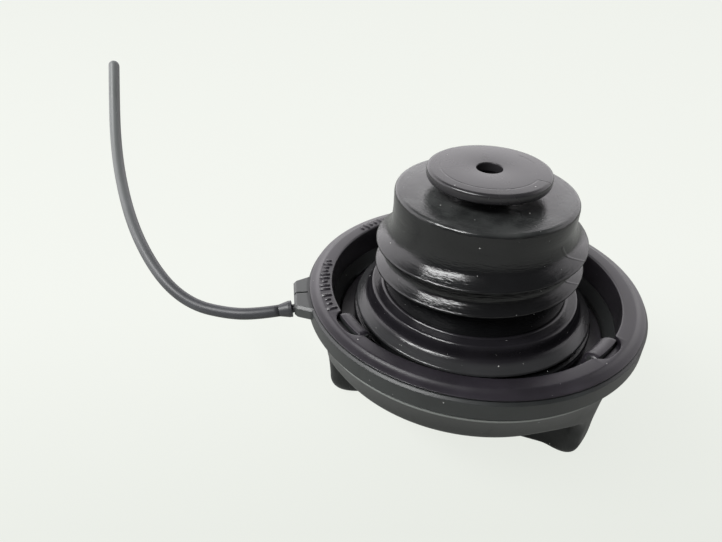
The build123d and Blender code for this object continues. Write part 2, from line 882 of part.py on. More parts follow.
def build_pressure_seal():
    outer = plate_radius - plate_rim - 0.1
    return tube(outer, rubber_inner, plate_top, rubber_top)


def build_vacuum_poppet():
    poppet = rod(poppet_radius, poppet_bottom, poppet_top)
    poppet = fillet(poppet.edges().sort_by(Axis.Z)[-1:], 0.4)
    stem = rod(poppet_stem, poppet_end, poppet_bottom + 0.2)
    stem = chamfer(stem.edges().sort_by(Axis.Z)[:1], 0.3)
    groove = tube(
        poppet_stem + 1, poppet_stem - clip_groove, clip_bottom - 0.05, clip_top + 0.05
    )
    return poppet + stem - groove


def build_vacuum_clip():
    bore = poppet_stem - clip_groove + 0.05
    clip = tube(clip_radius, bore, clip_bottom, clip_top)
    return clip - box_between(0, clip_radius + 1, -bore * 0.8, bore * 0.8, clip_bottom - 1, clip_top + 1)


pieces = {
    "grip_shell": build_grip_shell,
    "retainer_ring": build_retainer_ring,
    "closure_retainer": build_closure_retainer,
    "pawl_plate": build_pawl_plate,
    "centre_screw": build_centre_screw,
    "screw_washer": build_screw_washer,
    "tether_ring": build_tether_ring,
    "tether_collar": build_tether_collar,
    "tether_strand": build_tether_strand,
    "closure_stem": build_closure_stem,
    "ratchet_ring": build_ratchet_ring,
    "main_seal": build_main_seal,
    "valve_cover": build_valve_cover,
    "valve_housing": build_valve_housing,
    "housing_seal": build_housing_seal,
    "spring_retainer": build_spring_retainer,
    "pressure_spring": lambda: coil(spring_radius, spring_wire, spring_turns, disc_top, plate_bottom),
    "pressure_plate": build_pressure_plate,
    "pressure_seal": build_pressure_seal,
    "vacuum_poppet": build_vacuum_poppet,
    "vacuum_clip": build_vacuum_clip,
    "vacuum_spring": lambda: coil(
        vacuum_spring_radius, vacuum_spring_wire, vacuum_spring_turns, clip_top, hub_bottom
    ),
}

for name, build in pieces.items():
    export_step(build(), f"parts/{name}.step")
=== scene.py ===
import bpy
import math
from mathutils import Matrix, Vector


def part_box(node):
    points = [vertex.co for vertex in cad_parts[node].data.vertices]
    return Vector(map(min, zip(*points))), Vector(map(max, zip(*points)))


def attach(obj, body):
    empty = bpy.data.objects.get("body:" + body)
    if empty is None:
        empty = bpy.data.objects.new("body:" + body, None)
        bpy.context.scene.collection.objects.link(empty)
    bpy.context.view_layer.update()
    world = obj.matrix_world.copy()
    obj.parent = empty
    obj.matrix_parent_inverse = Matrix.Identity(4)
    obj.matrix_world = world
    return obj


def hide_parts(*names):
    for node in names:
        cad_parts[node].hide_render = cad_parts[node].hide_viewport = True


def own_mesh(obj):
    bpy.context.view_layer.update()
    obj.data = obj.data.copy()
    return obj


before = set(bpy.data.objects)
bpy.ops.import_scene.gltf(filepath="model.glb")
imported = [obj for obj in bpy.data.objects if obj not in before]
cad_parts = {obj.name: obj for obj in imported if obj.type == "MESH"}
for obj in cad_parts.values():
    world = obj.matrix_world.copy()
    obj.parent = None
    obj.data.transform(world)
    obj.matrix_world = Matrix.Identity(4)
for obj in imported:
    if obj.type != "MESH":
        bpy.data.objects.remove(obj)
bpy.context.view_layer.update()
mm = 0.001

# where the camera stands over the cap, in millimetres, and how it is held
cameraValues = {
    "place": (15.06, -123.69, 120.06),
    "ahead": (-0.2805, 0.7855, -0.5517),
    "up": (-0.2078, 0.5115, 0.8338),
    "focalPixels": 601.0,
    "widthPixels": 722.0,
    "sensor": 36.0,
    "nearest": 0.005,
}


def makeCamera(v):
    data = bpy.data.cameras.new("camera")
    data.sensor_width = v["sensor"]
    data.lens = v["sensor"] * v["focalPixels"] / v["widthPixels"]
    data.clip_start = v["nearest"]
    camera = bpy.data.objects.new("camera", data)
    bpy.context.scene.collection.objects.link(camera)
    ahead = Vector(v["ahead"]).normalized()
    right = ahead.cross(Vector(v["up"])).normalized()
    turn = Matrix((right, right.cross(ahead), -ahead)).transposed()
    camera.matrix_world = Matrix.Translation(Vector(v["place"]) * mm) @ turn.to_4x4()
    bpy.context.scene.camera = camera
    return Vector((ahead.x, ahead.y, 0)).normalized()


away = makeCamera(cameraValues)       # level, from the camera over the cap
print("camera ready")


class Socket:
    # an output socket that maths can be written on; plain numbers stay numbers
    def __init__(self, shader, out):
        self.shader = shader
        self.out = out

    def math(self, operation, *others):
        values = dict(enumerate((self, *others)))
        return self.shader.add("ShaderNodeMath", {"operation": operation}, values)

    def __add__(self, other):
        return self.math("ADD", other)

    __radd__ = __add__

    def __sub__(self, other):
        return self.math("SUBTRACT", other)

    def __rsub__(self, other):
        return self.shader.add("ShaderNodeMath", {"operation": "SUBTRACT"}, {0: other, 1: self})

    def __mul__(self, other):
        return self.math("MULTIPLY", other)

    __rmul__ = __mul__

    def __pow__(self, other):
        return self.math("POWER", other)

    def __abs__(self):
        return self.math("ABSOLUTE")

    def below(self, limit):
        return self.math("LESS_THAN", limit)

    def clamp(self):
        return self.shader.add("ShaderNodeClamp", {}, {"Value": self})

    def between(self, low, high):
        # 0 below low, 1 above high and smooth in between
        values = {"Value": self, "From Min": low, "From Max": high}
        return self.shader.add("ShaderNodeMapRange", {"interpolation_type": "SMOOTHSTEP"}, values)


class Shader:
    # one node tree; add() makes every node in it
    def __init__(self, tree):
        self.tree = tree

    def add(self, kind, settings, values, out=0):
        node = self.tree.nodes.new(kind)
        for name, value in settings.items():
            setattr(node, name, value)
        for name, value in values.items():
            self.feed(node.inputs[name], value)
        return Socket(self, node.outputs[out])

    def feed(self, socket, value):
        if isinstance(value, Socket):
            self.tree.links.new(value.out, socket)
        elif hasattr(value, "__len__") and len(value) == 3 and socket.type == "RGBA":
            socket.default_value = (*value, 1)
        else:
            socket.default_value = value

    def place(self):
        # the point on the piece, in millimetres
        point = self.add("ShaderNodeTexCoord", {}, {}, "Object")
        values = {0: point, "Scale": 1 / mm}
        return self.add("ShaderNodeVectorMath", {"operation": "SCALE"}, values)

    def part(self, vector, axis):
        return self.add("ShaderNodeSeparateXYZ", {}, {0: vector}, axis)

    def along(self, axis):
        return self.part(self.place(), axis)

    def reach(self):
        # distance from the cap's axis
        x, y = self.along("X"), self.along("Y")
        return (x * x + y * y) ** 0.5

    def turn(self):
        # direction about the axis, in degrees
        return self.along("Y").math("ARCTAN2", self.along("X")) * (180 / math.pi)

    def dot(self, vector, direction):
        values = {0: vector, 1: direction}
        return self.add("ShaderNodeVectorMath", {"operation": "DOT_PRODUCT"}, values, "Value")

    def noise(self, size, detail=3.0, roughness=0.5, stretch=(1, 1, 1)):
        # soft noise whose lumps are about size millimetres
        values = {0: self.place(), 1: stretch}
        point = self.add("ShaderNodeVectorMath", {"operation": "MULTIPLY"}, values)
        values = {"Vector": point, "Scale": 1.0 / size, "Detail": detail, "Roughness": roughness}
        return self.add("ShaderNodeTexNoise", {}, values, "Fac")

    def specks(self, spacing, size, share):
        # scattered round grains; share is how many of the places hold one
        values = {"Vector": self.place(), "Scale": 1.0 / spacing}
        gap = self.add("ShaderNodeTexVoronoi", {}, values, "Distance")
        tone = self.part(self.add("ShaderNodeTexVoronoi", {}, values, "Color"), "X")
        return (1 - gap.between(0.5 * size / spacing, size / spacing)) * tone.below(share)

    def mix(self, share, first, second):
        # two colours; the node's colour sockets are 6, 7 and, for the result, 2
        return self.add("ShaderNodeMix", {"data_type": "RGBA"}, {0: share, 6: first, 7: second}, 2)


def newMaterial(name, build, fixed):
    # build() gives the sockets that vary; fixed are plain numbers of the shader itself
    material = bpy.data.materials.new(name)
    material.use_nodes = True
    shader = Shader(material.node_tree)
    surface = material.node_tree.nodes["Principled BSDF"]
    for socket, value in {**fixed, **build(shader)}.items():
        shader.feed(surface.inputs[socket], value)
    return material


# black mouldings: colour, how rough, the grain's size and depth, how many dust grains, and the
# radius of the softened edges; scratch is the depth of the marks that run round the axis
plasticValues = {
    "grip": {
        "color": (0.0133, 0.0148, 0.0148), "rough": 0.40, "grain": 0.22, "depth": 0.30, "dust": 0.3,
        "edge": 0.5, "ior": 1.48,
    },
    "ring": {
        "color": (0.0162, 0.0142, 0.0181), "rough": 0.34, "grain": 0.20, "depth": 0.20, "dust": 0.4,
        "edge": 0.3, "ior": 1.56,
    },
    "band": {
        "color": (0.0171, 0.0190, 0.0190), "rough": 0.42, "grain": 0.20, "depth": 0.28, "dust": 0.3,
        "edge": 0.3, "ior": 1.56,
    },
    "stem": {
        "color": (0.0060, 0.0063, 0.0067), "rough": 0.20, "grain": 0.70, "depth": 0.06, "dust": 0.5,
        "edge": 0.0, "ior": 1.50, "scratch": 1.6,
    },
    "cover": {
        "color": (0.0190, 0.0182, 0.0199), "rough": 0.27, "grain": 0.30, "depth": 0.10, "dust": 0.2,
        "edge": 0.0, "ior": 1.50,
    },
    "strand": {
        "color": (0.0440, 0.0455, 0.0498), "rough": 0.45, "grain": 0.20, "depth": 0.25, "dust": 0.2,
        "edge": 0.0, "ior": 1.50,
    },
    "seal": {
        "color": (0.0095, 0.0089, 0.0106), "rough": 0.21, "grain": 0.50, "depth": 0.10, "dust": 0.6,
        "edge": 0.0, "ior": 1.46, "scratch": 0.9,
    },
}

# what all of them share; the grains are spacing, size and how many of the places hold one
mouldingValues = {
    "cloud": 9.0,                     # handling marks, as large as fingertips
    "cloudEdges": (0.3, 0.75),
    "lighter": 1.6,                   # the colour inside a handling mark
    "bigGrains": (2.6, 0.17, 0.35),
    "smallGrains": (1.1, 0.07, 0.45),
    "scuff": 5.0,
    "scuffEdges": (0.60, 0.78),
    # the colour mixed in for dust and lighter places, and for the painted highlight and sheen
    "wearAndPaintedLightColor": (0.46, 0.49, 0.47),
    "wearAndPaintedLightShare": 0.8,
    "dustColor": (0.70, 0.70, 0.68),
    "dustShare": 0.85,
    "dustHeight": 0.6,
    "roughLeast": 0.80,               # shares of the finish's own roughness
    "roughCloud": 0.35,
    "roughScuff": 0.10,
    "roughDust": 0.3,
    "bumpStrength": 0.30,
    "bumpDistance": 0.00012,
    "edgeSamples": 4,
    "scratchRun": 0.20,               # how closely the scratches follow each other along their run
    "scratchAcross": 3.6,             # and beside it
}

# the marks that only one moulding has: heights and reach are where each begins and is full, turns
# are in degrees, and perDegree is how many millimetres a degree is there
scoreValues = {
    "reach": 10.7,
    "width": 0.24,
    "front": (-92, 80),               # the arc's middle and half of its length
    "back": (49.5, 14.5),
    "runOff": -12,                    # the short line outwards where the front arc ends
    "perDegree": 0.2,
    "top": 67.0,
    "depth": 2.6,
}
partingValues = {
    "across": (-0.632, 0.775, 18.8),  # the plane that cuts the thread on the right
    "turns": (-50, 20),
    "far": 168,                       # the halves' other line, behind
    "foot": (41.0, 42.0),
    "head": (56.2, 56.8),
    "width": 0.24,
    "depth": 2.4,
    "perDegree": 0.4,
    "tickTurn": -60.3,                # a short stroke at the thread's foot
    "tickHeight": 42.6,
    "tickHalf": (0.9, 1.1),
    "tickWidth": 0.22,
    "tickDepth": 1.3,
}
# lightened places, some of them dust and some a painted highlight or sheen; recess sets roughness only
wearAndPaintedLightValues = {
    "rim": {"heights": (30.3, 30.8), "reach": (38.2, 38.6), "least": 0.55, "patch": 6.0},
    "pilot": {"heights": (61.2, 62.0), "patch": 7.0, "edges": (0.2, 0.8), "amount": 0.13},
    "strand": {"distance": (48, 115), "amount": 0.35},
    "lip": {"heights": (33.6, 34.4), "reach": (25.4, 26.2), "amount": 0.055},
    "block": {"reach": (40.3, 40.8), "amount": 0.12},
    "recess": {"heights": (24.0, 25.0), "reach": (34.6, 34.9), "amount": 0.5},
}


def scored(distance, width):
    # 1 on a scored line and 0 off it
    return 1 - abs(distance).between(0.35 * width, width)


def scoreMarks(s):
    # the arcs scored into the cover and the run-off where one of them ends
    v = scoreValues
    reach, turn = s.reach(), s.turn()
    ring = scored(reach - v["reach"], v["width"])
    front, back = (abs(turn - middle).below(half) for middle, half in (v["front"], v["back"]))
    runOff = scored((turn - v["runOff"]) * v["perDegree"], v["width"]) * (1 - reach.below(v["reach"]))
    return (ring * (front + back) + runOff).clamp() * (1 - s.along("Z").below(v["top"])) * -v["depth"]


def partingLines(s):
    # where the halves of the mould met
    v = partingValues
    turn, height = s.turn(), s.along("Z")
    alongX, alongY, offset = v["across"]
    first, last = v["turns"]
    thread = height.between(*v["foot"]) * (1 - height.between(*v["head"]))
    seam = scored(s.along("X") * alongX + s.along("Y") * alongY + offset, v["width"])
    seam = seam * (1 - turn.below(first)) * turn.below(last)
    far = scored((abs(turn) - v["far"]) * v["perDegree"], v["width"])
    tick = scored((turn - v["tickTurn"]) * v["perDegree"], v["tickWidth"])
    tick = tick * (1 - abs(height - v["tickHeight"]).between(*v["tickHalf"]))
    return tick * v["tickDepth"] + (seam + far) * thread * v["depth"]


def paintedRimHighlight(s):
    # painted highlight: a light line, in patches, along the grip's rim under the tether ring
    v = wearAndPaintedLightValues["rim"]
    place = s.along("Z").between(*v["heights"]) * s.reach().between(*v["reach"])
    return place * (v["least"] + (1 - v["least"]) * s.noise(v["patch"]))


def dustFilm(s):
    # a thin film on the stem's flat end
    v = wearAndPaintedLightValues["pilot"]
    patches = s.noise(v["patch"], 4.0).between(*v["edges"])
    return s.along("Z").between(*v["heights"]) * patches * v["amount"]


def lighterEnd(s):
    # the strand is coloured lighter grey towards its free end
    v = wearAndPaintedLightValues["strand"]
    return (s.along("X") * -1).between(*v["distance"]) * v["amount"]


def lighterLip(s):
    # the seal's wide lip is coloured lighter grey towards its outer edge and low down
    v = wearAndPaintedLightValues["lip"]
    return s.reach().between(*v["reach"]) * (1 - s.along("Z").between(*v["heights"])) * v["amount"]


def paintedBlockSheen(s):
    # painted sheen: the tether block is coloured lighter than the band it stands on
    v = wearAndPaintedLightValues["block"]
    return s.reach().between(*v["reach"]) * v["amount"]


def recess(s):
    # inside the mouth the grip is dull
    v = wearAndPaintedLightValues["recess"]
    return (1 - s.reach().between(*v["reach"])) * s.along("Z").between(*v["heights"]) * v["amount"]


def scratches(s, depth):
    # fine marks that run round the axis
    run, across = mouldingValues["scratchRun"], mouldingValues["scratchAcross"]
    values = {"X": s.turn() * run, "Y": s.reach() * across, "Z": s.along("Z") * across}
    point = s.add("ShaderNodeCombineXYZ", {}, values)
    marks = s.add("ShaderNodeTexNoise", {}, {"Vector": point, "Scale": 1.0, "Detail": 2.0}, "Fac")
    return marks * depth


extraHeight = {"cover": scoreMarks, "stem": partingLines}
# dust, lighter places and the painted rim highlight and block sheen, mixed into the colour
extraWearAndPaintedLight = {"band": paintedBlockSheen, "grip": paintedRimHighlight, "stem": dustFilm, "seal": lighterLip, "strand": lighterEnd}
dullPlaces = {"grip": recess}


def moulded(name, values):
    def build(s):
        v = mouldingValues
        cloud = s.noise(v["cloud"], 4.0)
        fine = s.noise(values["grain"], 2.0)      # the mould's own grain
        grains = [s.specks(spacing, size, share * values["dust"])
                  for spacing, size, share in (v["bigGrains"], v["smallGrains"])]
        speck = grains[0] + grains[1]
        scuff = s.noise(v["scuff"], 5.0, 0.65, (1, 1, 0.25)).between(*v["scuffEdges"])
        lighter = tuple(c * v["lighter"] for c in values["color"])
        color = s.mix(cloud.between(*v["cloudEdges"]), values["color"], lighter)
        # mix in dust, lighter places, the painted highlight and the painted sheen
        if name in extraWearAndPaintedLight:
            color = s.mix(extraWearAndPaintedLight[name](s) * v["wearAndPaintedLightShare"], color, v["wearAndPaintedLightColor"])
        color = s.mix(speck.clamp() * v["dustShare"], color, v["dustColor"])
        rough = values["rough"] * (v["roughLeast"] + v["roughCloud"] * cloud)
        rough = rough + v["roughScuff"] * scuff + v["roughDust"] * speck
        if name in dullPlaces:
            rough = rough + dullPlaces[name](s)
        height = fine * values["depth"] + speck * v["dustHeight"]
        if name in extraHeight:
            height = height + extraHeight[name](s)
        if "scratch" in values:
            height = height + scratches(s, values["scratch"])
        inputs = {"Strength": v["bumpStrength"], "Distance": v["bumpDistance"], "Height": height}
        if values["edge"]:
            radius = values["edge"] * mm
            inputs["Normal"] = s.add("ShaderNodeBevel", {"samples": v["edgeSamples"]}, {"Radius": radius})
        normal = s.add("ShaderNodeBump", {}, inputs)
        return {"Base Color": color, "Roughness": rough.clamp(), "Normal": normal}
    return build


acetalValues = {
    "colors": ((0.70, 0.69, 0.63), (0.62, 0.60, 0.52)),
    "cloud": 6.0,
    "rough": (0.32, 0.15),            # the least, and how much the clouds add
    "grain": 0.3,
    "bumpStrength": 0.2,
    "bumpDistance": 0.0001,
}
steelValues = {
    "colors": ((0.50, 0.51, 0.53), (0.66, 0.66, 0.65)),
    "streak": 0.5,
    "streakStretch": (1, 1, 6),
    "rough": (0.22, 0.2),
}


def acetal(s):
    v = acetalValues
    cloud = s.noise(v["cloud"])
    least, more = v["rough"]
    inputs = {"Strength": v["bumpStrength"], "Distance": v["bumpDistance"], "Height": s.noise(v["grain"])}
    normal = s.add("ShaderNodeBump", {}, inputs)
    return {"Base Color": s.mix(cloud, *v["colors"]), "Roughness": least + more * cloud, "Normal": normal}


def springSteel(s):
    v = steelValues
    streak = s.noise(v["streak"], 3.0, 0.6, v["streakStretch"])
    least, more = v["rough"]
    return {"Base Color": s.mix(streak, *v["colors"]), "Roughness": least + more * streak}


finishes = {
    name: newMaterial(name + "Plastic", moulded(name, values), {"IOR": values["ior"]})
    for name, values in plasticValues.items()
}
finishes["acetal"] = newMaterial("acetal", acetal, {})
finishes["steel"] = newMaterial("springSteel", springSteel, {"Metallic": 1.0})

# every other piece is acetal
nodeFinish = {
    "grip_shell": "grip",
    "retainer_ring": "ring",
    "closure_retainer": "ring",
    "tether_ring": "band",
    "tether_collar": "strand",
    "closure_stem": "stem",
    "main_seal": "seal",
    "valve_cover": "cover",
    "housing_seal": "seal",
    "pressure_seal": "seal",
    "vacuum_poppet": "seal",
    "centre_screw": "steel",
    "screw_washer": "steel",
    "pressure_spring": "steel",
    "vacuum_spring": "steel",
    "vacuum_clip": "steel",
}
for name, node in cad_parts.items():
    node.data.materials.clear()
    node.data.materials.append(finishes[nodeFinish.get(name, "acetal")])
print("materials")


def newPiece(name, vertices, faces, finish, body):
    # vertices in metres
    mesh = bpy.data.meshes.new(name)
    mesh.from_pydata([tuple(v) for v in vertices], [], faces)
    mesh.materials.append(finishes[finish])
    mesh.shade_smooth()
    piece = bpy.data.objects.new(name, mesh)
    bpy.context.scene.collection.objects.link(piece)
    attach(piece, body)
    return piece


def cornered(outline, steps=4):
    # outline is a loop of (reach, height, rounding); each corner becomes a small arc
    points = []
    count = len(outline)
    for i, (reach, height, rounding) in enumerate(outline):
        at = Vector((reach, height))
        if rounding < 0.01:
            points.append(at)
            continue
        before = Vector(outline[i - 1][:2]) - at
        after = Vector(outline[(i + 1) % count][:2]) - at
        # an arc takes less than half of the edge on either side
        size = min(rounding, 0.48 * before.length, 0.48 * after.length)
        first = at + before.normalized() * size
        last = at + after.normalized() * size
        for k in range(steps + 1):
            t = k / steps
            points.append(first * (1 - t) ** 2 + at * 2 * t * (1 - t) + last * t ** 2)
    return points


def onCircle(reach, turn, height):
    # a point in metres from millimetres and degrees
    a = math.radians(turn)
    return Vector((reach * math.cos(a), reach * math.sin(a), height)) * mm


def lathe(loops, turns):
    # loops holds one closed outline for every direction in turns, all with as many points
    vertices = []
    for outline, turn in zip(loops, turns):
        vertices += [onCircle(p.x, turn, p.y) for p in outline]
    size, count = len(loops[0]), len(turns)
    faces = []
    for i in range(count):
        for j in range(size):
            a, b = i * size + j, i * size + (j + 1) % size
            c, d = ((i + 1) % count) * size + j, ((i + 1) % count) * size + (j + 1) % size
            faces.append((a, c, d, b))
    return vertices, faces


def rodFaces(first, rows, size):
    # a closed rod from vertex first on: its skin between rows of size points, and both ends
    faces = []
    for i in range(rows - 1):
        for j in range(size):
            a, b = first + i * size + j, first + i * size + (j + 1) % size
            faces.append((a, b, b + size, a + size))
    last = first + (rows - 1) * size
    faces.append(tuple(range(first, first + size))[::-1])
    faces.append(tuple(range(last, last + size)))
    return faces


def evenTurns(count):
    return [360.0 * i / count for i in range(count)]


# main seal: reach, height and rounding of each corner
sealValues = {
    "outline": [
        (21.65, 31.8, 0.1), (24.6, 31.8, 0.1), (24.6, 32.9, 0.3), (25.3, 33.3, 0.3),
        (28.05, 32.2, 0.15), (28.45, 32.4, 0.2), (28.35, 32.95, 0.4), (25.35, 34.35, 1.3),
        (25.0, 36.6, 0.6), (24.5, 37.5, 0.45), (22.3, 37.45, 0.2), (22.0, 37.75, 0.15),
        (21.65, 37.7, 0.1),
    ],
    "sides": 288,
}

# round cover over the valve
coverValues = {
    "outline": [
        (2.9, 67.3, 0.25), (13.75, 67.3, 0.95), (13.62, 64.95, 1.0), (12.1, 64.8, 0.5),
        (6.6, 64.8, 0.9), (5.0, 62.1, 0.5), (5.0, 59.05, 0.0), (5.5, 59.05, 0.1), (4.8, 57.7, 0.2),
        (3.3, 57.7, 0.1), (3.3, 64.8, 0.1), (2.9, 65.4, 0.1),
    ],
    "sides": 256,
}


def makeTurned(name, v, finish, body, cadName):
    loop = cornered(v["outline"])
    turns = evenTurns(v["sides"])
    piece = newPiece(name, *lathe([loop] * len(turns), turns), finish, body)
    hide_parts(cadName)


makeTurned("mainSeal", sealValues, "seal", "closure", "main_seal")
makeTurned("valveCover", coverValues, "cover", "closure", "valve_cover")
print("seal and cover")


# threaded stem: the thread is raised on the turned core with soft feet and a rounded crest
stemValues = {
    "below": [                        # from the drum's rim up the outside to the seal's shelf
        (24.8, 24.4, 0.1), (29.8, 24.4, 0.2), (29.8, 25.7, 0.2), (27.2, 25.7, 0.2),
        (27.2, 29.6, 0.2), (28.9, 29.6, 0.3), (28.9, 31.0, 0.35), (24.9, 31.8, 0.1),
        (21.6, 31.8, 0.1),
    ],
    "above": [                        # from the pilot over the top and down the bore
        (20.4, 57.5, 0.0), (20.4, 62.1, 1.1), (5.05, 62.1, 0.1), (5.05, 59.1, 0.1),
        (18.5, 59.1, 0.4), (18.5, 36.35, 0.1), (18.0, 35.9, 0.1), (18.5, 35.45, 0.1),
        (18.5, 31.0, 0.1), (24.8, 29.0, 0.2),
    ],
    "threaded": (37.0, 57.4),         # the heights in between, which take the thread
    "root": 21.6,
    "pilot": 20.4,
    "pilotFoot": 20.8,
    "slope": (50.1, 51.2),            # where the root narrows to the pilot
    "land": 57.2,
    "crest": 24.0,
    "pitch": 6.0,
    "turns": 2.0,
    "start": 41.7,
    "startTurn": 97.4,
    "span": (-2.5, 6),                # the tooth reaches this far below and above its crest
    "peak": 0.12,                     # how far the sharp tooth would stand over the rounded one
    "flankRise": 1.7,                 # fall of the flank that faces the tip, per millimetre up
    "flankHollow": 0.2125,            # how it sweeps in to the core
    "flankEnd": 0.45,
    "undercutRise": 3.4,
    "undercutDrop": 0.35,
    "crestRounding": 0.55,
    "crestFlat": 0.2,
    "footRounding": 0.8,
    "runIn": 26.0,
    "runOut": 36.0,
    "sunk": 1.0,                      # depth under the core at which the tooth begins and ends
    "step": 0.17,
    "sides": 300,
    "keyTurn": 45,
    "keyReach": (24.0, 25.0),
    "keyHalfWidth": 1.4,
    "keyHeight": (24.9, 29.2),
}
boxFaces = ((0, 1, 3, 2), (4, 6, 7, 5), (0, 4, 5, 1), (2, 3, 7, 6), (0, 2, 6, 4), (1, 5, 7, 3))


def smooth(t):
    t = min(max(t, 0.0), 1.0)
    return t * t * (3 - 2 * t)


def softMax(a, b, k):
    h = min(max(0.5 + 0.5 * (a - b) / k, 0.0), 1.0)
    return b + (a - b) * h + k * h * (1 - h)


def softMin(a, b, k):
    return -softMax(-a, -b, k)


def coreReach(v, height):
    low, high = v["slope"]
    down = (v["land"] - height) / (v["land"] - high)
    pilot = v["pilot"] + (v["pilotFoot"] - v["pilot"]) * min(max(down, 0.0), 1.0)
    return v["root"] + (pilot - v["root"]) * smooth((height - low) / (high - low))


def sweepIn(v, over):
    # the flank falls fast at the crest and ever slower towards the core
    turnover = (v["flankRise"] - v["flankEnd"]) / (2 * v["flankHollow"])
    near = min(over, turnover)
    return v["flankRise"] * near - v["flankHollow"] * max(near, 0) ** 2 + v["flankEnd"] * (over - near)


def threadReach(v, turn, height):
    core = coreReach(v, height)
    reach = core
    low, high = v["span"]
    for lap in range(math.ceil(v["turns"])):
        gone = (turn - v["startTurn"]) % 360 + 360 * lap
        over = height - v["start"] - v["pitch"] * gone / 360
        if gone > 360 * v["turns"] or not low < over < high:
            continue
        flank = v["crest"] + v["peak"] - sweepIn(v, over)
        under = v["crest"] + v["peak"] + (over + v["undercutDrop"]) * v["undercutRise"]
        ridge = softMin(softMin(flank, under, v["crestRounding"]), v["crest"], v["crestFlat"])
        fade = smooth(gone / v["runIn"]) * smooth((360 * v["turns"] - gone) / v["runOut"])
        ridge -= (1 - fade) * (v["crest"] - core + v["sunk"])
        reach = softMax(reach, ridge, v["footRounding"] if ridge > core - v["sunk"] else 0.01)
    return reach


def makeStem(v):
    # the outline's ends are the same all round; the point on the pilot only aims the first corner
    bottom = cornered(v["below"])
    top = cornered(v["above"])[1:]
    low, high = v["threaded"]
    count = int((high - low) / v["step"])
    heights = [low + (high - low) * i / count for i in range(count + 1)]
    turns = evenTurns(v["sides"])
    loops = [bottom + [Vector((threadReach(v, t, h), h)) for h in heights] + top for t in turns]
    vertices, faces = lathe(loops, turns)
    half = v["keyHalfWidth"]
    for quarter in range(4):
        turn = Matrix.Rotation(math.radians(v["keyTurn"] + 90 * quarter), 3, "Z")
        first = len(vertices)
        for x in v["keyReach"]:
            for y in (-half, half):
                for z in v["keyHeight"]:
                    vertices.append(turn @ Vector((x, y, z)) * mm)
        faces += [tuple(first + k for k in face) for face in boxFaces]
    stem = newPiece("closureStem", vertices, faces, "stem", "closure")
    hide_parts("closure_stem")


makeStem(stemValues)
print("stem")


# mouth ring: plain all round, a leaf-shaped slot over each snap hook, and raised marks
ringValues = {
    "plain": [
        (34.4, 31.0, 0.1), (36.15, 31.0, 0.1), (36.15, 36.45, 0.0), (37.6, 36.45, 0.0),
        (37.6, 37.0, 0.0), (39.75, 37.0, 0.0), (39.78, 37.12, 0.05), (38.35, 37.42, 0.6),
        (37.5, 38.0, 0.6), (37.1, 38.0, 0.0),
        (34.4, 38.0, 0.45), (34.4, 36.62, 0.1), (34.4, 36.2, 0.05),
    ],
    "slotFloor": (35.45, 36.62),
    "slotReach": 36.9,
    "slotSlope": 0.08,
    "slotSteps": 24,
    "slotGap": 0.1,                   # degrees from a slot's end to the plain section
    "hooks": (-128.6, -25.1, 103.2),
    "half": 8.55,
    "spare": 0.4,                     # and how near to the slot the even sections stop
    "sides": 320,
    "bottom": 31.0,
    "top": 38.0,
    "markReach": (34.75, 37.6),
    "markHeight": 0.30,
    "markFoot": 0.07,                 # the marks start this far inside the ring
    "markInset": 0.14,
    # direction, width in degrees and length as a share of the marks' reach
    "marks": [
        (-139.3, 1.1, 0.9), (-142.3, 1.0, 0.5), (-144.9, 1.0, 0.5), (-147.6, 1.1, 0.9),
        (-151.6, 1.0, 0.9), (-154.0, 1.0, 0.9), (-156.6, 1.1, 0.5), (-159.0, 1.0, 0.9),
        (-161.5, 1.0, 0.9), (-164.0, 1.1, 0.5), (-166.4, 1.0, 0.5), (-168.8, 1.0, 0.9),
        (-171.4, 1.1, 0.5), (140.0, 1.0, 0.9), (142.6, 1.0, 0.5), (145.2, 1.0, 0.5),
        (147.8, 1.1, 0.9), (150.6, 1.0, 0.5), (153.2, 1.0, 0.5), (155.8, 1.1, 0.9),
        (158.6, 1.0, 0.5),
    ],
}
markFaces = (
    (0, 3, 9, 6), (5, 2, 8, 11), (1, 0, 6, 7), (2, 1, 7, 8), (3, 4, 10, 9), (4, 5, 11, 10),
    (6, 9, 10, 7), (7, 10, 11, 8),
)


def slotOutline(v, across):
    # the section where a slot is cut, across being -1 to 1 along the slot; it stands in for the
    # plain outline's first corner and its last three
    near, floor = v["slotFloor"]
    wall = v["plain"][0][0]
    reach = wall + (v["slotReach"] - wall) * (1 - abs(across) ** 3)
    slot = [(reach, v["top"], 0.3), (reach + v["slotSlope"], floor, 0.1), (near, floor, 0.05)]
    return [(near, v["bottom"], 0.1), *v["plain"][1:-3], *slot]


def ringSections(v):
    # (direction, outline) all round, closer together over the slots
    sections = []
    for turn in evenTurns(v["sides"]):
        nearest = min(abs((turn - hook + 180) % 360 - 180) for hook in v["hooks"])
        if nearest > v["half"] + v["spare"]:
            sections.append((turn, v["plain"]))
    for hook in v["hooks"]:
        for side in (-1, 1):
            sections.append(((hook + side * (v["half"] + v["slotGap"])) % 360, v["plain"]))
        for i in range(v["slotSteps"] + 1):
            across = 2 * i / v["slotSteps"] - 1
            sections.append(((hook + across * v["half"]) % 360, slotOutline(v, across)))
    return sorted(sections, key=lambda section: section[0])


def makeRing(v):
    sections = ringSections(v)
    loops = [cornered(outline) for turn, outline in sections]
    vertices, faces = lathe(loops, [turn for turn, outline in sections])
    near, far = v["markReach"]
    for turn, width, share in v["marks"]:
        # a low bar with sloping sides
        first = len(vertices)
        middle, half = (near + far) / 2, (far - near) * share / 2
        for inset, height in ((0, -v["markFoot"]), (v["markInset"], v["markHeight"])):
            lean = width / 2 - math.degrees(inset / middle)
            for reach in (middle - half + inset, middle + half - inset):
                for side in (-lean, 0, lean):
                    vertices.append(onCircle(reach, turn + side, v["top"] + height))
        faces += [tuple(first + k for k in face) for face in markFaces]
    ring = newPiece("mouthRing", vertices, faces, "ring", "grip")
    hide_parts("retainer_ring")


makeRing(ringValues)
print("mouth ring")


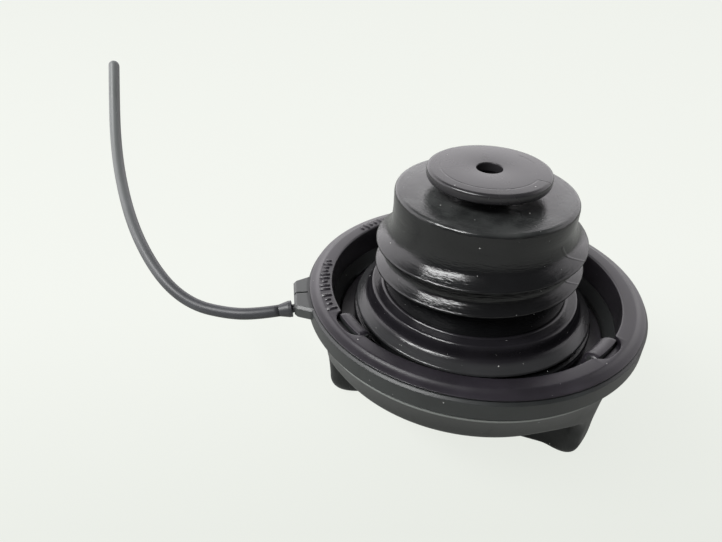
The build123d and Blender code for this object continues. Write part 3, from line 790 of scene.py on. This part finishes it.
# the rounded back of each snap hook, which slopes down towards the axis and at both ends
hookValues = {
    "outline": [
        (35.15, 36.6, 0.0), (35.15, 37.9, 0.25), (33.7, 37.9, 0.9), (32.0, 37.0, 0.9),
        (31.6, 34.0, 0.3), (33.6, 33.2, 0.0),
    ],
    "root": (34.5, 33.2),             # the ends draw in towards this reach and height
    "endReach": 0.35,                 # and keep these shares of the outline
    "endHeight": 0.72,
    "angles": ringValues["hooks"],
    "half": 7.9,
    "roundEnd": 1.9,
    "tip": 0.02,                      # least share of the rounding, at the very end
    "steps": 28,
}


def makeHooks(v):
    vertices, faces = [], []
    outline = cornered(v["outline"])
    rows = v["steps"] + 1
    rootReach, rootHeight = v["root"]
    for angle in v["angles"]:
        first = len(vertices)
        for i in range(rows):
            side = -math.cos(math.pi * i / v["steps"])
            nearEnd = max((abs(side) * v["half"] - v["half"] + v["roundEnd"]) / v["roundEnd"], 0)
            full = math.sqrt(max(1 - nearEnd ** 2, v["tip"] ** 2))
            outShare = v["endReach"] + (1 - v["endReach"]) * full
            upShare = v["endHeight"] + (1 - v["endHeight"]) * full
            for p in outline:
                reach = rootReach + (p.x - rootReach) * outShare
                height = rootHeight + (p.y - rootHeight) * upShare
                vertices.append(onCircle(reach, angle + side * v["half"], height))
        faces += rodFaces(first, rows, len(outline))
    newPiece("hookRamps", vertices, faces, "ring", "grip")


makeHooks(hookValues)
print("hook ramps")


# the two springs; travel is how far each valve lifts, and steps are the wire's sections in one
# turn
springValues = {
    "pressureSpring": {
        "node": "pressure_spring",
        "wire": 1.1,
        "turns": 4.5,
        "steps": 48,
        "sides": 14,
        "body": "closure",
        "joint": "pressure_valve_slide",
        "travel": 2.5,
        "fixedEnd": "low",
    },
    "vacuumSpring": {
        "node": "vacuum_spring",
        "wire": 0.45,
        "turns": 3.5,
        "steps": 48,
        "sides": 14,
        "body": "pressure_valve",
        "joint": "vacuum_valve_slide",
        "travel": 1.5,
        "fixedEnd": "high",
    },
}


def makeSpring(name, v):
    low, high = (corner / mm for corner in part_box(v["node"]))
    radius = v["wire"] / 2
    reach = (high.x - low.x) / 2 - radius
    rise = high.z - low.z - v["wire"]
    count = int(v["turns"] * v["steps"])
    vertices = []
    for i in range(count + 1):
        turn = 2 * math.pi * v["turns"] * i / count
        outward = Vector((math.cos(turn), math.sin(turn), 0))
        slope = rise / (2 * math.pi * v["turns"] * reach)
        along = Vector((-outward.y, outward.x, slope)).normalized()
        over = outward.cross(along)
        centre = outward * reach + Vector((0, 0, low.z + radius + rise * i / count))
        for k in range(v["sides"]):
            a = 2 * math.pi * k / v["sides"]
            vertices.append((centre + (outward * math.cos(a) + over * math.sin(a)) * radius) * mm)
    spring = newPiece(name, vertices, rodFaces(0, count + 1, v["sides"]), "steel", v["body"])
    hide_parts(v["node"])
    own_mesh(spring)


for name, values in springValues.items():
    makeSpring(name, values)
print("springs")


# the strand's route from its collar, in millimetres, and its own sizes
strandValues = {
    "route": [
        (-46.1, -27.2, 33.4),
        (-53.0, -28.5, 32.9),
        (-60.5, -29.3, 33.5),
        (-68.0, -28.3, 36.3),
        (-76.5, -24.1, 40.5),
        (-86.0, -16.8, 45.1),
        (-96.0, -6.6, 50.9),
        (-103.0, 2.2, 57.6),
        (-107.6, 10.0, 66.2),
        (-111.0, 16.5, 74.2),
    ],
    "fineness": 10,                  # points of the smooth line for each point of the route
    "socket": (43.6, 3.3, 34.6),     # its mouth: outwards, sideways and up
    "blockAngle": -153.0,
    "collarLength": 3.6,
    "diameter": 2.8,
    "length": 103.7,
    "seam": 0.07,                    # height of the mould's parting line
    "sides": 36,
    "tipSteps": 9,                   # rings of the rounded tip, ten degrees apart
}


def strandStart(v):
    out, side, up = v["socket"]
    angle = math.radians(v["blockAngle"])
    outward = Vector((math.cos(angle), math.sin(angle), 0))
    across = Vector((-outward.y, outward.x, 0))
    mouth = outward * out + across * side + Vector((0, 0, up))
    return mouth + (Vector(v["route"][0]) - mouth).normalized() * v["collarLength"]


def routeLine(name, points, fineness):
    # the smooth line of a NURBS route, as a list of points
    curve = bpy.data.curves.new(name, "CURVE")
    curve.dimensions = "3D"
    curve.resolution_u = fineness
    spline = curve.splines.new("NURBS")
    spline.points.add(len(points) - 1)
    for point, place in zip(spline.points, points):
        point.co = (*(Vector(place) * mm), 1)
    spline.order_u = 3
    spline.use_endpoint_u = True
    holder = bpy.data.objects.new(name, curve)
    mesh = bpy.data.meshes.new_from_object(holder)
    line = [v.co.copy() for v in mesh.vertices]
    bpy.data.objects.remove(holder)
    return line


def strandRings(v, line, radius):
    # (centre, direction, radius) along the line, with a round tip at its end
    gone = [0.0]
    for a, b in zip(line, line[1:]):
        gone.append(gone[-1] + (b - a).length)
    rings = []
    for i, point in enumerate(line):
        if gone[-1] - gone[i] > radius:
            direction = (line[min(i + 1, len(line) - 1)] - line[max(i - 1, 0)]).normalized()
            rings.append((point, direction, radius))
    along = (line[-1] - line[-2]).normalized()
    for step in range(v["tipSteps"]):
        turn = math.radians(10 * step)
        centre = line[-1] - along * radius * (1 - math.sin(turn))
        rings.append((centre, along, radius * math.cos(turn)))
    return rings


def makeStrand(v):
    start = strandStart(v)
    line = routeLine("strandRoute", [start, *v["route"]], v["fineness"])
    radius = v["diameter"] / 2 * mm
    rings = strandRings(v, line, radius)
    vertices = []
    side = Vector((0, 0, 1)).cross(rings[0][1]).normalized()
    for centre, direction, size in rings:
        side = (side - direction * side.dot(direction)).normalized()
        over = direction.cross(side)
        for k in range(v["sides"]):
            turn = 2 * math.pi * k / v["sides"]
            onSeam = k % (v["sides"] // 2) == 0
            reach = size + (v["seam"] * mm * (size / radius) if onSeam else 0)
            vertices.append(centre + (side * math.cos(turn) + over * math.sin(turn)) * reach)
    faces = rodFaces(0, len(rings), v["sides"])
    strand = newPiece("tetherStrand", vertices, faces, "strand", "tether")
    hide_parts("tether_strand")
    tuple(start * mm)
    [tuple(p) for p in line]


makeStrand(strandValues)
print("strand")


floorValues = {
    "size": 6.0,
    "color": (0.38, 0.39, 0.37),
    "paper": (0.975, 1.0, 0.945),         # what the camera and gloss see of it
    "dimPaper": (0.838, 0.866, 0.811),
    "dimming": (0.004, -0.0075, 0),       # it darkens this way, per millimetre
    "dimmingEdges": (-0.6, 1.0),
    "shade": 0.15,                        # share that keeps the shadow
    "glow": 0.17,                         # share of even light in what gloss sees
}
roomValues = {
    "wallColor": (1.0, 0.972, 1.0),
    "ceilingColor": (0.036, 0.035, 0.036),
    "skyColor": (0.39, 0.40, 0.38),       # what the camera sees past the floor's edge
    "strength": 2.35,
    "wallShare": 0.84,
    "wallSides": (-0.45, 0.25),           # the wall fades out from the back to the front
    "wallTop": (0.52, 0.74),
    "leftLean": 0.30,                     # how much brighter the wall is on the left
    "tilt": 0.03,                         # and how much higher
}
# direction about the cap and height over it in degrees, sizes in metres, power in watts
windowValues = {
    "turn": -128,
    "lift": 48,
    "distance": 0.9,
    "width": 0.62,
    "height": 0.20,
    "power": 8.7,
    "aim": 0.045,
}


def makeFloor(v):
    half = v["size"] / 2
    corners = [(-half, -half, 0), (half, -half, 0), (half, half, 0), (-half, half, 0)]
    mesh = bpy.data.meshes.new("floor")
    mesh.from_pydata(corners, [], [(0, 1, 2, 3)])
    floor = bpy.data.objects.new("floor", mesh)
    bpy.context.scene.collection.objects.link(floor)
    material = bpy.data.materials.new("paper")
    material.use_nodes = True
    tree = material.node_tree
    tree.nodes.remove(tree.nodes["Principled BSDF"])
    s = Shader(tree)
    diffuse = s.add("ShaderNodeBsdfDiffuse", {}, {"Color": v["color"]})
    dim = s.dot(s.place(), v["dimming"]).between(*v["dimmingEdges"])
    tone = s.mix(dim, v["paper"], v["dimPaper"])
    glow = s.add("ShaderNodeEmission", {}, {"Color": tone, "Strength": 1.0})
    camera = s.add("ShaderNodeLightPath", {}, {}, "Is Camera Ray")
    glossy = s.add("ShaderNodeLightPath", {}, {}, "Is Glossy Ray")
    through = s.add("ShaderNodeLightPath", {}, {}, "Is Transmission Ray")
    seen = (camera + through).clamp() * (1 - v["shade"]) + glossy * v["glow"]
    both = s.add("ShaderNodeMixShader", {}, {0: seen, 1: diffuse, 2: glow})
    s.feed(tree.nodes["Material Output"].inputs["Surface"], both)
    mesh.materials.append(material)


def makeRoom(v):
    # a pale wall behind the cap that ends below a dark ceiling
    world = bpy.data.worlds.new("room")
    bpy.context.scene.world = world
    world.use_nodes = True
    s = Shader(world.node_tree)
    direction = s.add("ShaderNodeTexCoord", {}, {}, "Generated")
    toBack = s.dot(direction, tuple(away))
    toLeft = s.dot(direction, (-away.y, away.x, 0))
    wall = toBack.between(*v["wallSides"]) * (1 + v["leftLean"] * toLeft)
    low = 1 - (s.part(direction, "Z") - v["tilt"] * toLeft).between(*v["wallTop"])
    room = s.mix((low * wall * v["wallShare"]).clamp(), v["ceilingColor"], v["wallColor"])
    camera = s.add("ShaderNodeLightPath", {}, {}, "Is Camera Ray")
    background = world.node_tree.nodes["Background"]
    s.feed(background.inputs["Color"], s.mix(camera, room, v["skyColor"]))
    s.feed(background.inputs["Strength"], v["strength"])


def makeWindow(v):
    data = bpy.data.lights.new("leftWindow", "AREA")
    data.shape = "RECTANGLE"
    data.size, data.size_y = v["width"], v["height"]
    data.energy = v["power"]
    lamp = bpy.data.objects.new("leftWindow", data)
    bpy.context.scene.collection.objects.link(lamp)
    aim = Vector((0, 0, v["aim"]))
    turn, lift = math.radians(v["turn"]), math.radians(v["lift"])
    level = math.cos(lift) * v["distance"]
    over = math.sin(lift) * v["distance"]
    lamp.location = aim + Vector((level * math.cos(turn), level * math.sin(turn), over))
    lamp.rotation_mode = "QUATERNION"
    lamp.rotation_quaternion = (aim - lamp.location).to_track_quat("-Z", "Y")


makeFloor(floorValues)
makeRoom(roomValues)
makeWindow(windowValues)
bpy.context.scene.view_settings.view_transform = "Standard"
print("studio")
